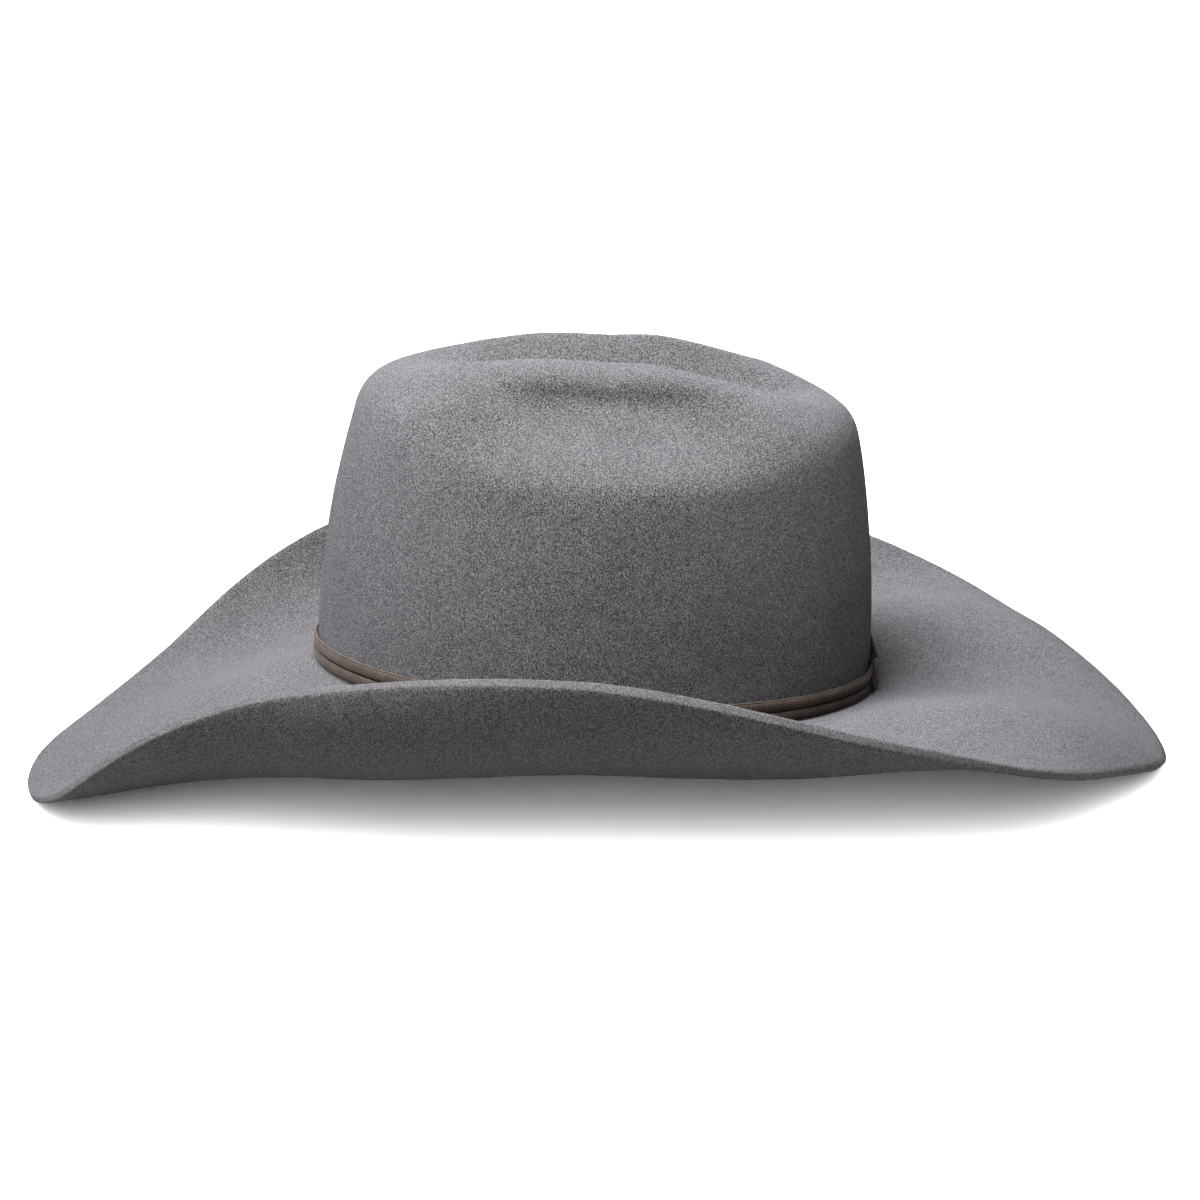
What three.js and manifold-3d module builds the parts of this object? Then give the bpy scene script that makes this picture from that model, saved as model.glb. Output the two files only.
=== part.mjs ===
// A western hat in grey wool felt, size 7 1/8. Millimetres, +Z up, front at -Y, wearer's left at +X.
// Each piece is drawn in the hat's worn frame, with z = 0 where the crown meets the brim. The whole
// hat is then tipped to the attitude in which it rests on the front and back of its brim.
import * as THREE from "three";
import { mergeVertices } from "three/addons/utils/BufferGeometryUtils.js";
import Module from "manifold-3d";

const wasm = await Module();
wasm.setup();

// Crown: the felt's outer oval at the brim break, and its profile above it.
const OVAL_LENGTH = 205.6; // front to back
const OVAL_WIDTH = 173.8;
const BREAK_DIP = 1.9; // the break drops by this at the back and rises by it at the front
const BREAK_SADDLE = 0.5; // and rises by this at both ends
const CROWN_HEIGHT = 122.5; // highest line of the crown before it is creased
const TOP_FALL_BACK = 14; // the top falls by this towards the back, over TOP_RUN_BACK
const TOP_RUN_BACK = 52;
const TOP_FALL_FRONT = 8;
const TOP_RUN_FRONT = 62;
const TOP_REACH = 0.9; // share of the oval's length that the top's fall is measured on
// Values at the back, the sides and the front of the crown.
const SHOULDER_HEIGHT = [90, 74, 96];
const SHOULDER_ROUND = [8, 2.4, 6]; // superellipse power across, high is a tight shoulder
const SHOULDER_RISE = [3, 2, 3]; // superellipse power up
const WALL_TAPER = [0.084, 0.09, 0.102]; // share of the oval lost TAPER_SPAN above TAPER_START
const TAPER_START = 10;
const TAPER_SPAN = 83;
const TAPER_POWER = 1.95;

// Centre crease, and the dent in each side of the crown.
const CREASE_DEPTH = 22;
const CREASE_HALF_WIDTH = 31;
const CREASE_HALF_LENGTH = 84;
const CREASE_CENTRE = 4; // towards the back
const CREASE_POWER = 1.6; // a lower power makes the ridges beside the crease tighter
const DENT_DEPTH = 18;
const DENT_CENTRE = 5; // towards the back
const DENT_HALF_LENGTH = 66;
const DENT_HEIGHT = 103;
const DENT_REACH_DOWN = 21;
const DENT_REACH_UP = 16;

// The crease was pressed by hand: its right ridge stands higher than its left one.
const RIDGE = { lift: 2.6, backLift: 1.8, backRun: 60, out: 34, low: 80, rise: 30 };

// Brim: its slope in degrees at the crown and at the edge, every 30 degrees from back to front,
// and how late across its width the one turns into the other.
const BRIM_WIDTH = 117; // along the felt
const BRIM_SIDE_EXTRA = 2.5; // wider by this at the sides, narrower by it at the ends
const BRIM_ROOT_SLOPE = [4, 17, 0, -2, -13, -26, -25];
const BRIM_EDGE_SLOPE = [-38, -38, 39, 83, 90, 3, -21];
const BRIM_TURN = [2.3, 2.2, 2.1, 2.35, 2.5, 1.6, 1.3];

// Felt.
const CROWN_FELT = 2.4;
const BRIM_FELT = 2.8;
const BREAK_ROUND = 2.2; // size of the rounded corner at the brim break
const REST_FLAT = 0.45; // depth of the two spots pressed flat where the brim rests

// Hat band: grosgrain backing, with two cords of the same ribbon on it.
const RIBBON = { low: 0.9, high: 8.9, inner: 0.3, outer: 0.6 };
const CORD = { height: 3.7, inner: 0.9, outer: 1.75 };
const CORD_LOW_CENTRE = 2.9;
const CORD_HIGH_CENTRE = 6.9;
const TACK = { halfAngle: 0.012, inset: 0.6, thick: 0.6 };

// Bow at the back, laid over the band. Loop and knot outlines are listed where they are built.
const BOW = { near: 2.1, loop: 16, knot: 2.4, knotHalf: 4.6, centre: 7.2 };
const BOW_TAIL = { near: 0.5, far: 1.4, tall: 3.4, low: 6.2, rise: 1.4, from: 0.8, to: 6.4 };

// Sweatband: distances inwards from the felt's outer face.
const LEATHER = { outer: 3.9, inner: 5.0, top: 54 };
const LEATHER_ROLL = { outer: 6.2, inner: 7.2, low: 0.4, high: 7 };
const REED = { centre: 4.3, up: 1.3, radius: 1.0 };
const TAPE = { gap: 0.25, thick: 0.35, top: 5.2 };
const THREAD = { above: 3, thick: 0.5, tall: 0.9 }; // above the roll's lower edge
const SEAM_PATCH = { half: 6, low: 24, high: 42, outer: 5.5, thick: 0.9 };
const INNER_BOW = { up: 46, outer: 6.6, thick: 1.4 };
const SIZE_TAG = { angle: 22.5, halfAngle: 7.5, low: 40, high: 56, outer: 3.3, thick: 0.3 };

// Lining.
const LINING = { outer: 2.7, thick: 0.3, low: 26, clear: 57, kneeIn: 4, kneeDown: 6 };
const TIP = { length: 122, width: 92, height: 82, dome: 7, thick: 0.3 };
const PIPING_RADIUS = 1.1;
const SHIELD = { length: 96, width: 66, low: 83.75, dome: 4.2, thick: 0.3 };

const AROUND = 48; // facets round the hat
const GAP = 0.3; // clearance between pieces that touch
const PAD_BEVEL = 0.6; // a pad on the wall: how far its outer face is set in from its edges
const PAD_BULGE = 0.4; // and how far the middle of its edges stands out

// ---- small helpers ----

const radians = THREE.MathUtils.degToRad;

// Smooth curve through values given evenly from the back (phi = 0) to the front, the same on both sides.
function fromStations(values, phi) {
  const last = values.length - 1;
  const wrapped = Math.abs(Math.atan2(Math.sin(phi), Math.cos(phi)));
  const place = (wrapped / Math.PI) * last;
  const k = Math.min(Math.floor(place), last - 1);
  const t = place - k;
  const at = (i) => values[Math.abs(i) > last ? 2 * last - Math.abs(i) : Math.abs(i)];
  const [a, b, c, d] = [at(k - 1), at(k), at(k + 1), at(k + 2)];
  const cubic = -a + 3 * b - 3 * c + d;
  const square = 2 * a - 5 * b + 4 * c - d;
  return 0.5 * (2 * b + (c - a) * t + square * t * t + cubic * t ** 3);
}

// Value at the back, sides and front, blended by the square of the cosine.
function fromThree([back, side, front], phi) {
  const c = Math.cos(phi);
  const end = c > 0 ? back : front;
  return side + (end - side) * c * c;
}

function mesh(name, geometry, colour, roughness) {
  const material = new THREE.MeshStandardMaterial({ color: colour, roughness, metalness: 0 });
  const made = new THREE.Mesh(geometry, material);
  made.name = name;
  return made;
}

// A closed surface from its corners and triangles, turned to face outwards.
function closedGeometry(points, triangles) {
  let volume = 0;
  for (let i = 0; i < triangles.length; i += 3) {
    const [a, b, c] = [points[triangles[i]], points[triangles[i + 1]], points[triangles[i + 2]]];
    volume += a.dot(new THREE.Vector3().crossVectors(b, c));
  }
  const facing = volume > 0 ? triangles : [...triangles].reverse();
  const geometry = new THREE.BufferGeometry().setFromPoints(points);
  geometry.setIndex(facing);
  return geometry;
}

// Joins rings of points into a tube. wrap also joins the last ring to the first.
function joinRings(rings, wrap) {
  const count = rings[0].length;
  const triangles = [];
  const pairs = wrap ? rings.length : rings.length - 1;
  for (let j = 0; j < pairs; j++) {
    const next = (j + 1) % rings.length;
    for (let i = 0; i < count; i++) {
      const a = j * count + i;
      const b = j * count + ((i + 1) % count);
      const c = next * count + i;
      const d = next * count + ((i + 1) % count);
      triangles.push(a, b, d, a, d, c);
    }
  }
  return triangles;
}

// A skin like a bowl or a hat: rings from one pole, over the edge, to the other pole.
function bowl(firstPole, rings, lastPole) {
  const points = [...rings.flat(), firstPole, lastPole];
  const triangles = joinRings(rings, false);
  const count = rings[0].length;
  const [first, last] = [points.length - 2, points.length - 1];
  const lastRing = (rings.length - 1) * count;
  for (let i = 0; i < count; i++) {
    const j = (i + 1) % count;
    triangles.push(first, j, i, last, lastRing + i, lastRing + j);
  }
  return closedGeometry(points, triangles);
}

// A bar swept through sections of equal point count, with a flat cap at each end.
function bar(sections) {
  const points = sections.flat();
  const triangles = joinRings(sections, false);
  const count = sections[0].length;
  const lastRing = (sections.length - 1) * count;
  for (let i = 1; i < count - 1; i++) {
    triangles.push(0, i + 1, i, lastRing, lastRing + i, lastRing + i + 1);
  }
  return closedGeometry(points, triangles);
}

const angles = Array.from({ length: AROUND }, (_, i) => (2 * Math.PI * i) / AROUND);

// ---- crown and brim surface ----

// Point of the brim break, with the outward direction square to the oval.
function breakLine(phi) {
  const a = OVAL_LENGTH / 2;
  const b = OVAL_WIDTH / 2;
  const outward = new THREE.Vector3(Math.sin(phi) / b, Math.cos(phi) / a, 0).normalize();
  const z = -BREAK_DIP * Math.cos(phi) + BREAK_SADDLE * Math.cos(2 * phi);
  return { at: new THREE.Vector3(b * Math.sin(phi), a * Math.cos(phi), z), outward };
}

function taper(phi, z) {
  const rise = Math.max(0, z - TAPER_START) / TAPER_SPAN;
  return 1 - fromThree(WALL_TAPER, phi) * rise ** TAPER_POWER;
}

// Point "up" above the break on the crown wall, moved "out" from the felt's outer face.
function onWall(phi, out, up) {
  const { at, outward } = breakLine(phi);
  const z = at.z + up;
  const scale = taper(phi, z);
  return new THREE.Vector3(at.x * scale + outward.x * out, at.y * scale + outward.y * out, z);
}

function topHeight(y) {
  const [fall, run] = y > 0 ? [TOP_FALL_BACK, TOP_RUN_BACK] : [TOP_FALL_FRONT, TOP_RUN_FRONT];
  return CROWN_HEIGHT - fall * (1 - Math.exp(-((y / run) ** 2)));
}

// Presses the centre crease and the side dents into a point of the blocked crown.
function pressCrown(p) {
  const across = Math.abs(p.x) / CREASE_HALF_WIDTH;
  const along = Math.abs(p.y - CREASE_CENTRE) / CREASE_HALF_LENGTH;
  const reach = Math.min(1, Math.cbrt(across ** 3 + along ** 3));
  const crease = CREASE_DEPTH * (1 - reach ** 2) ** CREASE_POWER;
  const dentAlong = Math.min(1, Math.abs(p.y - DENT_CENTRE) / DENT_HALF_LENGTH);
  const dentReach = p.z > DENT_HEIGHT ? DENT_REACH_UP : DENT_REACH_DOWN;
  const dentUp = Math.min(1, Math.abs(p.z - DENT_HEIGHT) / dentReach);
  const dent = DENT_DEPTH * (1 - dentAlong ** 3) ** 2 * (1 - dentUp ** 2) ** 2;
  const side = Math.tanh(p.x / CREASE_HALF_WIDTH) / Math.tanh(2);
  return new THREE.Vector3(p.x - side * dent, p.y, p.z - crease + ridgeLift(p));
}

// Extra height of the right side of the crown's top, over that of the left.
function ridgeLift(p) {
  const right = THREE.MathUtils.clamp(-p.x / RIDGE.out, 0, 1);
  const high = THREE.MathUtils.clamp((p.z - RIDGE.low) / RIDGE.rise, 0, 1);
  const towardsBack = THREE.MathUtils.clamp(p.y / RIDGE.backRun, -1, 1);
  return right ** 2 * high ** 2 * (RIDGE.lift + RIDGE.backLift * towardsBack);
}

// Column of crown points at one angle, from just above the break to near the apex.
function crownColumn(phi, wallRows, topRows) {
  const shoulder = fromThree(SHOULDER_HEIGHT, phi);
  const round = fromThree(SHOULDER_ROUND, phi);
  const rise = fromThree(SHOULDER_RISE, phi);
  const { at } = breakLine(phi);
  const column = [];
  for (let i = 0; i < wallRows; i++) {
    const up = BREAK_ROUND + ((shoulder - at.z - BREAK_ROUND) * i) / wallRows;
    column.push(onWall(phi, 0, up));
  }
  const blocked = (turn) => {
    const ratio = Math.cos(turn) ** (2 / round);
    const top = topHeight(at.y * ratio * TOP_REACH);
    const z = shoulder + (top - shoulder) * Math.sin(turn) ** (2 / rise);
    const scale = taper(phi, z) * ratio;
    return new THREE.Vector3(at.x * scale, at.y * scale, z);
  };
  const steps = 240;
  const fine = Array.from({ length: steps + 1 }, (_, i) => {
    return blocked((Math.PI / 2) * (i / steps) ** 1.5);
  });
  const walked = [0];
  for (let i = 1; i < fine.length; i++) walked.push(walked[i - 1] + fine[i].distanceTo(fine[i - 1]));
  const total = walked.at(-1);
  for (let i = 0; i < topRows; i++) {
    const goal = (total * i) / topRows;
    const k = Math.max(1, walked.findIndex((w) => w >= goal));
    const share = (goal - walked[k - 1]) / (walked[k] - walked[k - 1]);
    column.push(pressCrown(fine[k - 1].clone().lerp(fine[k], share)));
  }
  return column;
}

// Column of brim points at one angle, from just outside the break to the edge.
function brimColumn(phi, rows) {
  const { at, outward } = breakLine(phi);
  const root = radians(fromStations(BRIM_ROOT_SLOPE, phi));
  const edge = radians(fromStations(BRIM_EDGE_SLOPE, phi));
  const turn = fromStations(BRIM_TURN, phi);
  const width = BRIM_WIDTH - BRIM_SIDE_EXTRA * Math.cos(2 * phi);
  const fine = rows * 8;
  const p = at.clone();
  const column = [];
  const step = width / fine;
  for (let i = 1; i <= fine; i++) {
    const slope = root + (edge - root) * ((i - 0.5) / fine) ** turn;
    p.addScaledVector(outward, step * Math.cos(slope));
    p.z += step * Math.sin(slope);
    if (i % 8 === 0) column.push(p.clone());
  }
  return column;
}

// Outward normals of a grid of columns that starts at the edge of the brim and ends near the apex.
function gridNormals(columns, apex) {
  const rows = columns[0].length;
  return columns.map((column, c) =>
    column.map((_, r) => {
      const left = columns[(c + columns.length - 1) % columns.length][r];
      const right = columns[(c + 1) % columns.length][r];
      const below = column[Math.max(0, r - 1)];
      const above = r + 1 < rows ? column[r + 1] : apex;
      const across = right.clone().sub(left);
      const up = above.clone().sub(below);
      return up.cross(across).normalize();
    }),
  );
}

const WALL_ROWS = 5;
const TOP_ROWS = 10;
const BRIM_ROWS = 8;

function feltGeometry() {
  const apex = pressCrown(new THREE.Vector3(0, 0, topHeight(0)));
  const columns = angles.map((phi) => {
    const brim = brimColumn(phi, BRIM_ROWS).reverse();
    const crown = crownColumn(phi, WALL_ROWS, TOP_ROWS);
    const corner = breakLine(phi).at.clone();
    corner.lerp(crown[0], 0.25).lerp(brim.at(-1), 0.02);
    return [...brim, corner, ...crown];
  });
  const normals = gridNormals(columns, apex);
  const rows = columns[0].length;
  const felt = (r) => (r < BRIM_ROWS ? BRIM_FELT : CROWN_FELT);
  const ring = (r, depth) =>
    columns.map((column, c) => column[r].clone().addScaledVector(normals[c][r], -depth));
  const outer = [];
  const inner = [];
  for (let r = rows - 1; r >= 0; r--) outer.push(ring(r, 0));
  for (let r = 0; r < rows; r++) inner.push(ring(r, felt(r)));
  const innerApex = apex.clone();
  innerApex.z -= CROWN_FELT;
  return bowl(apex, [...outer, ...inner], innerApex);
}

// ---- rings round the crown ----

// A hoop with a fixed section: corners are [out, up].
function hoop(corners) {
  const rings = corners.map(([out, up]) => angles.map((phi) => onWall(phi, out, up)));
  return closedGeometry(rings.flat(), joinRings(rings, true));
}

function ellipseSection(centreOut, centreUp, halfOut, halfUp, sides) {
  return Array.from({ length: sides }, (_, i) => {
    const turn = (2 * Math.PI * (i + 0.5)) / sides;
    return [centreOut + halfOut * Math.cos(turn), centreUp + halfUp * Math.sin(turn)];
  });
}

function ribbonCord(centreUp) {
  const middle = (CORD.inner + CORD.outer) / 2;
  const half = (CORD.outer - CORD.inner) / 2;
  return hoop(ellipseSection(middle, centreUp, half, CORD.height / 2, 8));
}

function sweatbandSection() {
  const { outer, inner, top } = LEATHER;
  const roll = LEATHER_ROLL;
  const bend = roll.high + 5;
  const middle = (bend + top) / 2;
  return [
    [-outer, top],
    [-outer, middle],
    [-outer, bend],
    [-roll.outer, roll.high],
    [-roll.outer, roll.low],
    [-roll.inner, roll.low],
    [-roll.inner, roll.high + 1],
    [-inner, bend + 1],
    [-inner, middle],
    [-inner, top],
  ];
}

// The tape is a cloth U that hangs round the reed, open at the top.
function tapeSection() {
  const near = REED.radius + TAPE.gap;
  const far = near + TAPE.thick;
  const arc = (radius, from, to) =>
    Array.from({ length: 5 }, (_, i) => {
      const turn = from + ((to - from) * i) / 4;
      return [-REED.centre + radius * Math.cos(turn), REED.up + radius * Math.sin(turn)];
    });
  const outside = arc(far, 0, -Math.PI);
  const inside = arc(near, -Math.PI, 0);
  return [
    [-REED.centre + far, TAPE.top],
    ...outside,
    [-REED.centre - far, REED.up + 1],
    [-REED.centre - near, REED.up + 1],
    ...inside,
    [-REED.centre + near, TAPE.top],
  ];
}

// ---- lining ----

function ovalRing(length, width, z) {
  return angles.map((phi) => {
    return new THREE.Vector3((width / 2) * Math.sin(phi), (length / 2) * Math.cos(phi), z);
  });
}

// Lining wall: flat against the felt behind the sweatband, then in a smooth curve to the oval tip.
function liningSideGeometry() {
  const top = ovalRing(TIP.length + 2 * GAP, TIP.width + 2 * GAP, TIP.height);
  const { clear } = LINING;
  const flatRows = [LINING.low, (LINING.low + clear) / 2, clear];
  const curveRows = [0.25, 0.5, 0.75, 1];
  const surface = (inset) => {
    const depth = -LINING.outer - inset;
    const flat = flatRows.map((up) => angles.map((phi) => onWall(phi, depth, up)));
    const curved = curveRows.map((t) =>
      angles.map((phi, i) => {
        const low = onWall(phi, depth, clear);
        const knee = onWall(phi, depth - LINING.kneeIn, TIP.height - LINING.kneeDown);
        const end = top[i].clone();
        end.z -= inset + PIPING_RADIUS + GAP;
        return low.lerp(knee, t).lerp(knee.clone().lerp(end, t), t);
      }),
    );
    return [...flat, ...curved];
  };
  const rings = [...surface(0), ...surface(LINING.thick).reverse()];
  return closedGeometry(rings.flat(), joinRings(rings, true));
}

// A dished oval sheet, highest in the middle.
function domedOval(length, width, base, rise, thick) {
  const rows = [1, 0.8, 0.55, 0.28];
  const layer = (z) =>
    rows.map((share) => ovalRing(length * share, width * share, z + rise * (1 - share ** 2)));
  const top = layer(base + thick);
  const under = layer(base);
  const pole = (z) => new THREE.Vector3(0, 0, z + rise);
  return bowl(pole(base + thick), [...top.reverse(), ...under], pole(base));
}

function pipingGeometry() {
  const section = ellipseSection(0, 0, PIPING_RADIUS, PIPING_RADIUS, 6);
  const rings = section.map(([out, up]) => {
    const grow = 2 * (out + GAP + PIPING_RADIUS);
    return ovalRing(TIP.length + grow, TIP.width + grow, TIP.height + up);
  });
  return closedGeometry(rings.flat(), joinRings(rings, true));
}

// ---- pieces laid on the wall over a short arc ----

// A pad on the wall: each station gives its angle, lowest and highest edge and its two faces.
function wallPad(stations) {
  const section = ({ phi, low, high, near, far }) => [
    onWall(phi, near, low),
    onWall(phi, near, high),
    onWall(phi, (near + far) / 2, high + PAD_BULGE),
    onWall(phi, far, high - PAD_BEVEL),
    onWall(phi, far, low + PAD_BEVEL),
    onWall(phi, (near + far) / 2, low - PAD_BULGE),
  ];
  return bar(stations.map(section));
}

// Angle from the middle of the back for a distance along the band.
const backAngle = (distance) => Math.asin(distance / (OVAL_WIDTH / 2));

function bowLoop(side) {
  // Distance along the band, half-height and thickness.
  const outline = [
    [BOW.knot + GAP, 2.2, 0.7],
    [BOW.knot + 3, 4.2, 0.9],
    [BOW.loop * 0.6, 5.4, 1.0],
    [BOW.loop - 2, 5.6, 0.9],
    [BOW.loop, 4.6, 0.6],
  ];
  return wallPad(
    outline.map(([along, half, thick]) => ({
      phi: backAngle(along * side),
      low: BOW.centre - half,
      high: BOW.centre + half,
      near: BOW.near,
      far: BOW.near + thick,
    })),
  );
}

function bowTail(side) {
  const { near, far, tall, low, rise, from, to } = BOW_TAIL;
  return wallPad(
    [0, 0.5, 1].map((share) => {
      const foot = BOW.centre + low + rise * share;
      const phi = backAngle((from + (to - from) * share) * side);
      return { phi, low: foot, high: foot + tall, near, far };
    }),
  );
}

function bowKnot() {
  // Share of the half-width, and thickness.
  const outline = [
    [-1, 0.9],
    [-0.5, 1.4],
    [0.5, 1.4],
    [1, 0.9],
  ];
  return wallPad(
    outline.map(([share, thick]) => ({
      phi: backAngle(BOW.knot * share),
      low: BOW.centre - BOW.knotHalf,
      high: BOW.centre + BOW.knotHalf,
      near: BOW.near,
      far: BOW.near + thick,
    })),
  );
}

// A short bar of thread across the groove between the two cords.
function bandTack(phi) {
  return wallPad(
    [-TACK.halfAngle, TACK.halfAngle].map((offset) => ({
      phi: phi + offset,
      low: CORD_LOW_CENTRE + TACK.inset,
      high: CORD_HIGH_CENTRE - TACK.inset,
      near: CORD.outer + GAP,
      far: CORD.outer + GAP + TACK.thick,
    })),
  );
}

// A flat tab inside the crown, centred on an angle.
function innerTab(angle, halfAngle, { low, high, outer, thick }) {
  return wallPad(
    [-1, 0, 1].map((share) => ({
      phi: angle + halfAngle * share,
      low,
      high,
      near: -outer,
      far: -outer - thick,
    })),
  );
}

function innerBow() {
  // Distance along the sweatband and half-height.
  const outline = [
    [-9, 3.6],
    [-5, 3.2],
    [-1.2, 1.4],
    [1.2, 1.4],
    [5, 3.2],
    [9, 3.6],
  ];
  return wallPad(
    outline.map(([along, half]) => ({
      phi: backAngle(along),
      low: INNER_BOW.up - half,
      high: INNER_BOW.up + half,
      near: -INNER_BOW.outer,
      far: -INNER_BOW.outer - INNER_BOW.thick,
    })),
  );
}

// ---- assembly ----

// The tip at which the front and the back of a shape touch the ground together.
function restingTip(geometry) {
  const position = geometry.getAttribute("position");
  const points = Array.from({ length: position.count }, (_, i) => {
    return new THREE.Vector3().fromBufferAttribute(position, i);
  });
  const lowest = (tip, front) => {
    const half = points.filter((p) => p.y < 0 === front);
    return Math.min(...half.map((p) => p.z * Math.cos(tip) - p.y * Math.sin(tip)));
  };
  let [low, high] = [0, radians(10)];
  for (let i = 0; i < 40; i++) {
    const middle = (low + high) / 2;
    if (lowest(middle, true) < lowest(middle, false)) low = middle;
    else high = middle;
  }
  return (low + high) / 2;
}

function toManifold(geometry) {
  const bare = new THREE.BufferGeometry();
  bare.setAttribute("position", geometry.getAttribute("position"));
  bare.setIndex(geometry.getIndex());
  const merged = mergeVertices(bare, 1e-4);
  const vertProperties = new Float32Array(merged.attributes.position.array);
  const triVerts = new Uint32Array(merged.index.array);
  return new wasm.Manifold(new wasm.Mesh({ numProp: 3, vertProperties, triVerts }));
}

function fromManifold(solid) {
  const out = solid.getMesh();
  const geometry = new THREE.BufferGeometry();
  geometry.setAttribute("position", new THREE.BufferAttribute(out.vertProperties, 3));
  geometry.setIndex(new THREE.BufferAttribute(out.triVerts, 1));
  return geometry;
}

// Presses flat the two spots of the brim that the hat rests on: everything under the ground is cut off.
function pressFlat(geometry, ground) {
  const side = 600;
  const depth = 60;
  const block = new THREE.BoxGeometry(side, side, depth).toNonIndexed();
  block.deleteAttribute("normal");
  block.deleteAttribute("uv");
  block.translate(0, 0, ground - depth / 2);
  return fromManifold(toManifold(geometry).subtract(toManifold(mergeVertices(block))));
}

const GREY_FELT = 0x77767b;
const TAUPE = 0x5d5145;
const DARK_TAUPE = 0x4a4038;
const TAN_LEATHER = 0x8a6a4c;
const DARK_LEATHER = 0x7c5d42;
const SATIN = 0x2b2a2e;
const PIPING = 0x4a484c;
const PALE_PLASTIC = 0xd8d4c8;
const CLEAR_PLASTIC = 0xdfe3e6;
const BLACK_TAPE = 0x3a3936;
const CREAM_THREAD = 0xcabfa8;
const PAPER = 0xe8e4da;

function bandPieces() {
  const ribbon = hoop([
    [RIBBON.inner, RIBBON.low],
    [RIBBON.outer, RIBBON.low],
    [RIBBON.outer, RIBBON.high],
    [RIBBON.inner, RIBBON.high],
  ]);
  return [
    mesh("band_ribbon", ribbon, DARK_TAUPE, 0.85),
    mesh("band_cord_lower", ribbonCord(CORD_LOW_CENTRE), TAUPE, 0.8),
    mesh("band_cord_upper", ribbonCord(CORD_HIGH_CENTRE), TAUPE, 0.8),
    mesh("band_tack_left", bandTack(Math.PI / 2), DARK_TAUPE, 0.7),
    mesh("band_tack_right", bandTack(-Math.PI / 2), DARK_TAUPE, 0.7),
    mesh("band_tack_front", bandTack(Math.PI), DARK_TAUPE, 0.7),
    mesh("bow_loop_left", bowLoop(1), TAUPE, 0.8),
    mesh("bow_loop_right", bowLoop(-1), TAUPE, 0.8),
    mesh("bow_tail_left", bowTail(1), TAUPE, 0.8),
    mesh("bow_tail_right", bowTail(-1), TAUPE, 0.8),
    mesh("bow_knot", bowKnot(), TAUPE, 0.8),
  ];
}

function sweatbandPieces() {
  const reed = hoop(ellipseSection(-REED.centre, REED.up, REED.radius, REED.radius, 6));
  const threadOut = -LEATHER_ROLL.inner - GAP - THREAD.thick;
  const threadUp = LEATHER_ROLL.low + THREAD.above;
  const thread = hoop(ellipseSection(threadOut, threadUp, THREAD.thick / 2, THREAD.tall / 2, 6));
  const patch = innerTab(0, backAngle(SEAM_PATCH.half), SEAM_PATCH);
  const tag = innerTab(radians(SIZE_TAG.angle), radians(SIZE_TAG.halfAngle), SIZE_TAG);
  return [
    mesh("sweatband", hoop(sweatbandSection()), TAN_LEATHER, 0.5),
    mesh("sweatband_reed", reed, PALE_PLASTIC, 0.4),
    mesh("reed_tape", hoop(tapeSection()), BLACK_TAPE, 0.9),
    mesh("sweatband_stitching", thread, CREAM_THREAD, 0.7),
    mesh("sweatband_seam_patch", patch, DARK_LEATHER, 0.5),
    mesh("sweatband_bow", innerBow(), SATIN, 0.5),
    mesh("size_tag", tag, PAPER, 0.9),
  ];
}

function liningPieces() {
  const { length, width, height, dome, thick } = TIP;
  const tip = domedOval(length - 1, width - 1, height, dome, thick);
  const shield = domedOval(SHIELD.length, SHIELD.width, SHIELD.low, SHIELD.dome, SHIELD.thick);
  return [
    mesh("lining_side", liningSideGeometry(), SATIN, 0.35),
    mesh("lining_piping", pipingGeometry(), PIPING, 0.5),
    mesh("lining_tip", tip, SATIN, 0.35),
    mesh("lining_shield", shield, CLEAR_PLASTIC, 0.15),
  ];
}

const felt = feltGeometry();
const tip = restingTip(felt);
felt.applyMatrix4(new THREE.Matrix4().makeRotationX(-tip));
felt.computeBoundingBox();
const ground = felt.boundingBox.min.z + REST_FLAT;

// Every piece but the felt is drawn upright and tipped by this group.
const tipped = new THREE.Group();
tipped.rotation.x = -tip;
tipped.add(...bandPieces(), ...sweatbandPieces(), ...liningPieces());

// The box of the resting hat, centred over the origin and standing on z = 0.
const pressed = mesh("felt_body", pressFlat(felt, ground), GREY_FELT, 0.95);
const box = new THREE.Box3().setFromObject(pressed);
const centre = box.getCenter(new THREE.Vector3());

const hat = new THREE.Group();
hat.add(pressed, tipped);
hat.position.set(-centre.x, -centre.y, -ground);

export default hat;
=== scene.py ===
from math import cos, pi, radians, sin

import bpy
import numpy as np
from mathutils import Matrix, Vector, noise


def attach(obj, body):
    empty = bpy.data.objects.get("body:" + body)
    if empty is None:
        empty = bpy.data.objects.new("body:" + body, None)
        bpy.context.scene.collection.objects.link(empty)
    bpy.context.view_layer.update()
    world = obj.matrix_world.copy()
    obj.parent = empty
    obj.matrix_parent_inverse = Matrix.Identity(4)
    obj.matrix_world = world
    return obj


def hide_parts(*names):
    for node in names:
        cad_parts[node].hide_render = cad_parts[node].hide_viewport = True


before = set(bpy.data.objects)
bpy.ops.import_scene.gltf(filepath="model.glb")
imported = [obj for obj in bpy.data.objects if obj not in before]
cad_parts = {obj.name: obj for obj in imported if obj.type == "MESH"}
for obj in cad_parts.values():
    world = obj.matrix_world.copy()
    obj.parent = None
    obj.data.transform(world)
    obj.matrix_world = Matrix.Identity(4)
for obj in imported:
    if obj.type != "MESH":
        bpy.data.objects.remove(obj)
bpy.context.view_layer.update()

# A western hat in grey wool felt. Shapes are worked out in millimetres in the hat's worn frame, with
# z = 0 where the crown meets the brim, and are tipped and moved to the resting hat at the very end.
MM = 0.001
TIP = radians(3.392)  # the front is raised by this when the hat rests on both ends of its brim
LIFT = 32.642
SHIFT = -0.897

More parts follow.
